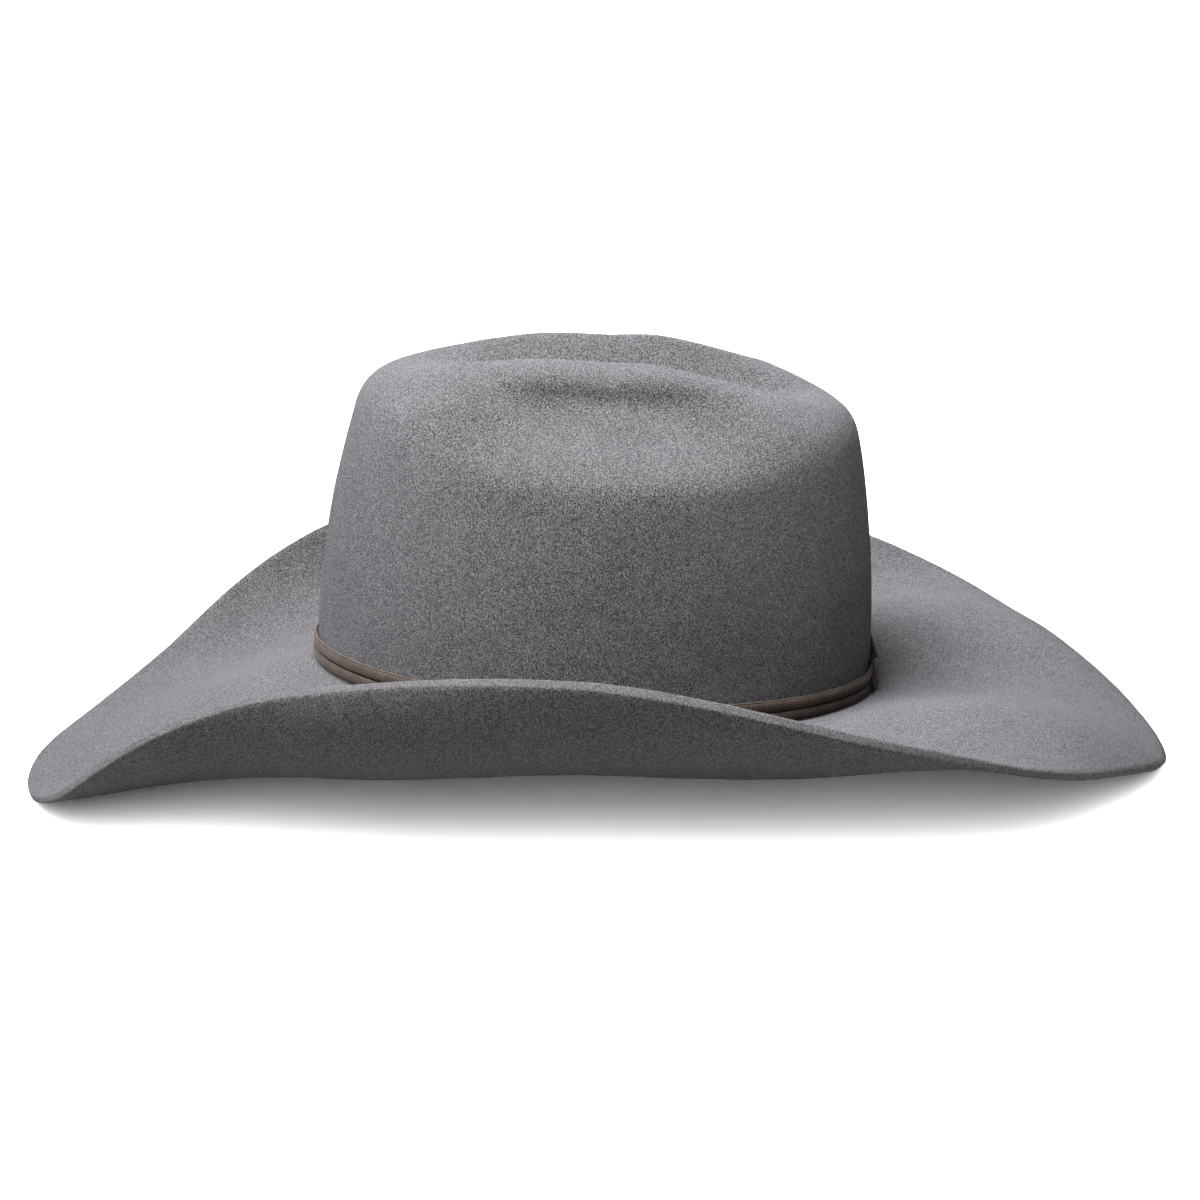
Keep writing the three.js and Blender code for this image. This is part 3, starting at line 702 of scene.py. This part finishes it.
def make_picots(phi, rib, finish):
    """The looped edges of the ribbon, below and above the cords."""
    outs, ups = oval_section(6, PICOT_RADIUS, PICOT_RADIUS)
    for name, centre, outward in (("lower", BAND_LOW + 0.1, -1), ("upper", BAND_HIGH - 0.1, 1)):
        rows = []
        for out, up in zip(outs, ups):
            rows.append(on_wall(phi, PICOT_OUT + out + 0.1 * rib, centre + up + outward * 0.3 * rib))
        piece = make_hoop(f"band_picot_{name}", np.array(rows), finish, None)
        mark(piece, "rib", np.tile(rib, len(rows)))


def back_angle(distance):
    """Angle round the hat of a point at a distance to the side of the middle of the back."""
    return np.arcsin(np.asarray(distance, float) / (OVAL_WIDTH / 2))


def ribbon_strip(name, path, half_width, centre, thick, finish, node):
    """A ribbed ribbon laid along a path of (along, out) points on the wall at the middle of the back."""
    path = np.array(path, float)
    walked = np.r_[0, np.cumsum(np.hypot(*np.diff(path, axis=0).T))]
    count = max(8, round(walked[-1] / RIB_PITCH * 3))
    goal = np.linspace(0, walked[-1], count)
    along = np.interp(goal, walked, path[:, 0])
    out = np.interp(goal, walked, path[:, 1])
    half = np.interp(goal, walked, np.broadcast_to(half_width, len(path)))
    middle = np.interp(goal, walked, np.broadcast_to(centre, len(path)))
    tangent = np.stack([np.gradient(along), np.gradient(out)], -1)
    tangent /= np.linalg.norm(tangent, axis=-1, keepdims=True)
    rib = ribs(count, 3)
    reaches = (-1, -0.5, 0.5, 1)
    corners = [(1, reach) for reach in reaches] + [(-1, reach) for reach in reversed(reaches)]
    sections = []
    for i in range(count):
        side = np.array([-tangent[i, 1], tangent[i, 0]])
        ring = []
        for face, reach in corners:
            offset = side * face * (thick / 2 + 0.05 * rib[i])
            place = np.array([along[i], out[i]]) + offset
            ring.append(on_wall(back_angle(place[0]), place[1], middle[i] + half[i] * reach))
        sections.append(ring)
    strip = make_bar(name, np.array(sections), finish, node)
    mark(strip, "rib", np.repeat(rib, len(corners)))


def smooth_path(points, steps=8):
    """Catmull-Rom curve through the points given."""
    p = np.array([points[0], *points, points[-1]], float)
    curve = []
    for k in range(1, len(p) - 2):
        for t in np.arange(steps) / steps:
            a, b, c, d = p[k - 1 : k + 3]
            cubic, square = -a + 3 * b - 3 * c + d, 2 * a - 5 * b + 4 * c - d
            curve.append(0.5 * (2 * b + (c - a) * t + square * t * t + cubic * t**3))
    return np.array([*curve, p[-2]])


def make_bow(ribbon):
    for name, side in (("left", 1), ("right", -1)):
        under = [(LOOP_START, 2.3), (8, 2.3), (13, 2.28), (LOOP_REACH, 2.4)]
        over = [(14.8, 2.85), (9, 3.0), (LOOP_START, 2.8)]
        loop = smooth_path(under + over)
        spread = np.clip((loop[:, 0] - LOOP_START) / 6.5, 0, 1)
        half = LOOP_NARROW + (LOOP_WIDE - LOOP_NARROW) * spread**0.8
        loop[:, 0] *= side
        ribbon_strip(f"bow_loop_{name}_ribbon", loop, half, BOW_CENTRE, 0.3, ribbon, f"bow_loop_{name}")
        tail = smooth_path([(TAIL_START, 0.85), (3.6, 0.85), (TAIL_REACH, 0.95)])
        share = np.clip((tail[:, 0] - TAIL_START) / (TAIL_REACH - TAIL_START), 0, 1)
        up = BOW_CENTRE + TAIL_UP + TAIL_CLIMB * share
        tail[:, 0] *= side
        ribbon_strip(f"bow_tail_{name}_ribbon", tail, TAIL_HALF, up, 0.4, ribbon, f"bow_tail_{name}")
    knot = smooth_path([(-2.35, 2.3), (-2.3, 2.75), (-1.3, 3.2), (1.3, 3.2), (2.3, 2.75), (2.35, 2.3)])
    ribbon_strip("bow_knot_wrap", knot, KNOT_HALF, BOW_CENTRE, 0.35, ribbon, "bow_knot")


def make_tacks(finish):
    """Short pairs of thread over the groove between the cords."""
    groove = sum(CORD_CENTRES.values()) / 2
    steps, corners = 9, 6
    turn = np.linspace(0, pi, steps)
    up = groove - TACK_HALF_UP * np.cos(turn)
    out = TACK_OUT + TACK_BOW * np.sin(turn)
    outs, sides = oval_section(corners, 0.16, 0.0019)
    for name, phi in (("left", pi / 2), ("right", -pi / 2), ("front", pi)):
        points, faces = [], []
        for offset in (-TACK_APART, TACK_APART):
            rings = np.array([on_wall(phi + offset + s, out + o, up) for o, s in zip(outs, sides)])
            start = len(points)
            points.extend(rings.transpose(1, 0, 2).reshape(-1, 3))
            faces.extend(ring_faces(steps, corners, start=start))
            last = start + (steps - 1) * corners
            faces.append(tuple(start + i for i in reversed(range(corners))))
            faces.append(tuple(last + i for i in range(corners)))
        make_piece(f"band_tack_{name}_thread", points, faces, finish, f"band_tack_{name}")


# ---------------------------------------------------------------- sweatband


def make_sweatband(hide, tape, plastic, stitch, bow_satin):
    """The leather band inside the crown, rolled outwards round its reed, and what is sewn to it."""
    phi = around(360)
    edge = LEATHER_TOP + 0.25 * relief(on_wall(phi, 0, LEATHER_TOP), 30, 11)
    ripple = 0.12 * relief(on_wall(phi, 0, 30.0), 22, 12)
    # (depth, up) round the section, up the felt's side and down the head's; None is the top edge.
    profile = [
        (ROLL_OUT, ROLL_LOW),
        (ROLL_OUT, ROLL_HIGH - 3),
        (ROLL_OUT - 0.5, ROLL_HIGH),
        (LEATHER_OUT + 0.6, ROLL_HIGH + 3),
        (LEATHER_OUT, ROLL_HIGH + 7),
        *[(LEATHER_OUT, up) for up in (24, 34, 44)],
        (LEATHER_OUT + 0.1, None),
        (LEATHER_IN - 0.1, None),
        *[(LEATHER_IN, up) for up in (44, 34, 24)],
        (LEATHER_IN, ROLL_HIGH + 8),
        (LEATHER_IN + 0.7, ROLL_HIGH + 3.5),
        (ROLL_IN - 0.4, ROLL_HIGH + 0.5),
        (ROLL_IN, ROLL_HIGH - 3),
        (ROLL_IN, ROLL_LOW + 0.4),
        (ROLL_IN - 0.4, ROLL_LOW),
    ]
    rows = []
    for depth, up in profile:
        height = edge if up is None else up
        rows.append(on_wall(phi, -depth + (ripple if depth > LEATHER_OUT else 0), height))
    make_hoop("sweatband_leather", np.array(rows), hide, "sweatband")
    out, up = oval_section(12, REED_RADIUS, REED_RADIUS)
    reed = np.array([on_wall(phi, o - REED_CENTRE, REED_UP + u) for o, u in zip(out, up)])
    make_hoop("sweatband_reed_rod", reed, plastic, "sweatband_reed")
    make_tape(phi, tape)
    make_stitching(stitch)
    make_patch(hide)
    make_inner_bow(bow_satin)


def make_tape(phi, finish):
    """The cloth welt that wraps the reed and holds the sweatband to the felt."""
    near, far = REED_RADIUS + 0.25, REED_RADIUS + 0.6
    turn = np.linspace(0, pi, 9)
    outside = [(-REED_CENTRE + far * cos(t), REED_UP - far * sin(t)) for t in turn]
    inside = [(-REED_CENTRE - near * cos(t), REED_UP - near * sin(t)) for t in turn]
    corners = [(-REED_CENTRE + far, 5.2), *outside, (-REED_CENTRE - far, 2.3), (-REED_CENTRE - near, 2.3)]
    corners += [*inside, (-REED_CENTRE + near, 5.2)]
    rows = np.array([on_wall(phi, out, up) for out, up in corners])
    make_hoop("reed_tape_cloth", rows, finish, "reed_tape")


def make_stitching(finish):
    """A row of slanted stitches along the foot of the sweatband, linked by the thread between them."""
    stitches, per = 176, 10
    count = stitches * per
    phi = around(count)
    beat = 2 * pi * np.arange(count) / per
    out = -(ROLL_IN + 0.42) + 0.1 * np.cos(beat)
    up = ROLL_LOW + 3.3 + 0.22 * np.sin(beat)
    full = 0.16 + 0.12 * (0.5 + 0.5 * np.cos(beat)) ** 0.5
    outs, ups = oval_section(8, 1, 1)
    tube = np.array([on_wall(phi, out - o * full, up + u * full) for o, u in zip(outs, ups)])
    make_hoop("sweatband_stitches", tube, finish, "sweatband_stitching")


def make_patch(hide):
    """The tab over the seam at the back, with its corners rounded and its edge skived thin."""
    half_turn, low, high, depth, thick = float(back_angle(5.8)), 24.2, 41.8, LEATHER_IN + 0.5, 0.9
    spread = np.linspace(-1, 1, 25)
    sections = []
    for s in spread:
        pull = 1.2 * max(0, abs(s) - 0.75) / 0.25
        bevel = thick * (1 - 0.6 * max(0, abs(s) - 0.85) / 0.15)
        bottom, top = low + pull**2, high - pull**2
        ring = [(-depth, bottom), (-depth, top), (-depth - bevel * 0.6, top), (-depth - bevel, top - 0.7)]
        ring += [(-depth - bevel, bottom + 0.7), (-depth - bevel * 0.6, bottom)]
        sections.append([on_wall(half_turn * s, out, up) for out, up in ring])
    make_bar("sweatband_seam_tab", np.array(sections), hide, "sweatband_seam_patch")


def make_inner_bow(finish):
    """The tiny satin bow that marks the back of the sweatband."""
    depth = LEATHER_IN + 1.6
    wing = [(1.1, 1.3, 0.8), (3, 2.5, 1.0), (6.5, 3.5, 1.1), (8.8, 3.2, 0.5)]
    other_wing = [(-along, half, thick) for along, half, thick in reversed(wing)]
    points = smooth_path([*other_wing, (0, 1.6, 1.3), *wing], 6)
    sections = []
    for along, half, thick in points:
        ring = []
        for turn in around(14):
            out = -depth - thick / 2 - thick / 2 * cos(turn)
            pleat = 0.08 * sin(9 * turn) * min(1, abs(along) / 3)
            ring.append(on_wall(float(back_angle(along)), out + pleat, 46 + half * sin(turn)))
        sections.append(ring)
    make_bar("sweatband_satin_bow", np.array(sections), finish, "sweatband_bow")


# ---------------------------------------------------------------- lining


def oval_ring(phi, length, width, z):
    """A level oval inside the crown."""
    return np.stack([width / 2 * np.sin(phi), length / 2 * np.cos(phi), z + 0 * phi], -1)


def make_lining(cloth, piping):
    """The lining's wall and tip of satin, and the piping sewn between them."""
    phi = around(480)
    clear = LEATHER_TOP + 3
    flat = np.linspace(LINING_LOW, clear, 7)[:-1]
    pleats = np.cos(phi * 40) * 0.5 + np.cos(phi * 93 + 1) * 0.25

    def surface(inset):
        depth = -LINING_OUT - inset
        rows = [on_wall(phi, depth, up) for up in flat]
        low = on_wall(phi, depth, clear)
        knee = on_wall(phi, depth - 4, TIP_HEIGHT - 6)
        seam = TIP_HEIGHT - inset - PIPING_RADIUS - GAP
        end = oval_ring(phi, TIP_LENGTH + 2 * GAP, TIP_WIDTH + 2 * GAP, seam)
        for t in np.linspace(0, 1, 22):
            row = (low * (1 - t) + knee * t) * (1 - t) + (knee * (1 - t) + end * t) * t
            row[:, 2] += 0.75 * pleats * t**1.3 * (1 - t) ** 0.35
            rows.append(row)
        return np.array(rows)

    skin = np.concatenate([surface(0), surface(LINING_THICK)[::-1]])
    side = make_hoop("lining_side_satin", skin, cloth, "lining_side")
    outline = (TIP_LENGTH - 1, TIP_WIDTH - 1, TIP_HEIGHT, TIP_DOME, LINING_THICK)
    tip = domed_oval("lining_tip_satin", *outline, cloth, "lining_tip", "lining_satin")
    out, up = oval_section(10, PIPING_RADIUS, PIPING_RADIUS)
    twist = 1 + 0.06 * np.sin(phi * 90)
    rows = []
    for o, u in zip(out, up):
        grow = 2 * (o * twist + GAP + PIPING_RADIUS)
        rows.append(oval_ring(phi, TIP_LENGTH + grow, TIP_WIDTH + grow, TIP_HEIGHT + u * twist))
    make_hoop("lining_piping_cord", np.array(rows), piping, "lining_piping")


def domed_oval(name, length, width, base, rise, thick, finish, node, slot):
    """A thin oval sheet that rises to a low dome in its middle."""
    phi = around(160)
    shares = np.sin(np.linspace(pi / 2, 0.06, 24))

    def layer(z):
        return np.array([oval_ring(phi, length * s, width * s, z + rise * (1 - s * s)) for s in shares])

    rings = np.concatenate([layer(base + thick)[::-1], layer(base)])
    pole = np.array([0, 0, base + rise])
    return make_bowl(name, rings, pole + np.array([0, 0, thick]), pole, finish, node)


def make_tag(finish):
    """The blank size tag behind the sweatband, to one side of the back seam."""
    near, far = -TAG_OUT, -TAG_OUT - TAG_THICK
    sections = []
    for s in np.linspace(-1, 1, 17):
        turn = radians(TAG_TURN) + radians(TAG_HALF_TURN) * s
        ring = [(near, TAG_LOW), (near, TAG_HIGH), (far, TAG_HIGH), (far, TAG_LOW)]
        sections.append([on_wall(turn, out, up) for out, up in ring])
    make_bar("size_tag_paper", np.array(sections), finish, "size_tag")


# ---------------------------------------------------------------- floor


def make_plane(name, drop, pale, dim):
    """A matt paper surface just under the hat, reaching past everything in view."""
    mesh = bpy.data.meshes.new(name)
    reach = 40
    corners = [(-reach, -reach), (reach, -reach), (reach, reach), (-reach, reach)]
    mesh.from_pydata([(x, y, -drop) for x, y in corners], [], [(0, 1, 2, 3)])
    plane = bpy.data.objects.new(name, mesh)
    finish = Finish(name, Specular_IOR_Level=0.05)
    paper = finish.noise(3, 2, 0.5)
    finish.feed("Base Color", finish.mix(paper, dim, pale))
    finish.feed("Roughness", 0.9 + paper * 0.05)
    mesh.materials.append(finish.material)
    bpy.context.scene.collection.objects.link(plane)
    return plane


def make_floor():
    """The white floor, and under it a darker one that gives the soft light thrown back up at the hat."""
    floor = make_plane("floor", 0.0002, rgb(0.92, 0.92, 0.92), rgb(0.9, 0.9, 0.9))
    floor.visible_diffuse = False
    floor.visible_glossy = False
    floor.visible_shadow = False
    bounce = make_plane("floor_bounce", 0.0004, rgb(0.37, 0.36, 0.33), rgb(0.35, 0.34, 0.31))
    bounce.visible_camera = False
    return floor


# ---------------------------------------------------------------- assembly


make_camera()
make_light(make_floor())

# The first colour of each grosgrain is painted shade for the gaps between its ribs.
painted_gap_shade = rgb(0.012, 0.009, 0.007)
band_weave = grosgrain("band_grosgrain", painted_gap_shade, rgb(0.028, 0.02, 0.015), rgb(0.055, 0.041, 0.032))
cord_weave = grosgrain("cord_grosgrain", painted_gap_shade, rgb(0.058, 0.04, 0.03), rgb(0.12, 0.088, 0.068))
picot = grosgrain("picot_edge", rgb(0.028, 0.02, 0.015), rgb(0.11, 0.084, 0.066), rgb(0.24, 0.19, 0.155))
bow_weave = grosgrain("bow_grosgrain", painted_gap_shade, rgb(0.028, 0.021, 0.018), rgb(0.065, 0.05, 0.042))

make_felt(wool_felt())
make_band(band_weave, cord_weave, picot)
make_bow(bow_weave)
make_tacks(thread("dark_thread", rgb(0.1, 0.08, 0.06)))
light_thread = thread("light_thread", rgb(0.62, 0.54, 0.42))
bow_satin = satin("bow_satin", rgb(0.012, 0.012, 0.015), rgb(0.045, 0.045, 0.055))
make_sweatband(leather(), cotton_tape(), reed_plastic(), light_thread, bow_satin)
lining_satin = satin("lining_satin", rgb(0.02, 0.019, 0.024), rgb(0.06, 0.058, 0.07))
piping_satin = satin("piping_satin", rgb(0.05, 0.047, 0.052), rgb(0.12, 0.115, 0.125))
make_lining(lining_satin, piping_satin)
shield = (SHIELD_LENGTH, SHIELD_WIDTH, SHIELD_LOW, SHIELD_DOME, SHIELD_THICK)
domed_oval("lining_shield_film", *shield, clear_film(), "lining_shield", "shield_plastic")
make_tag(tag_paper())
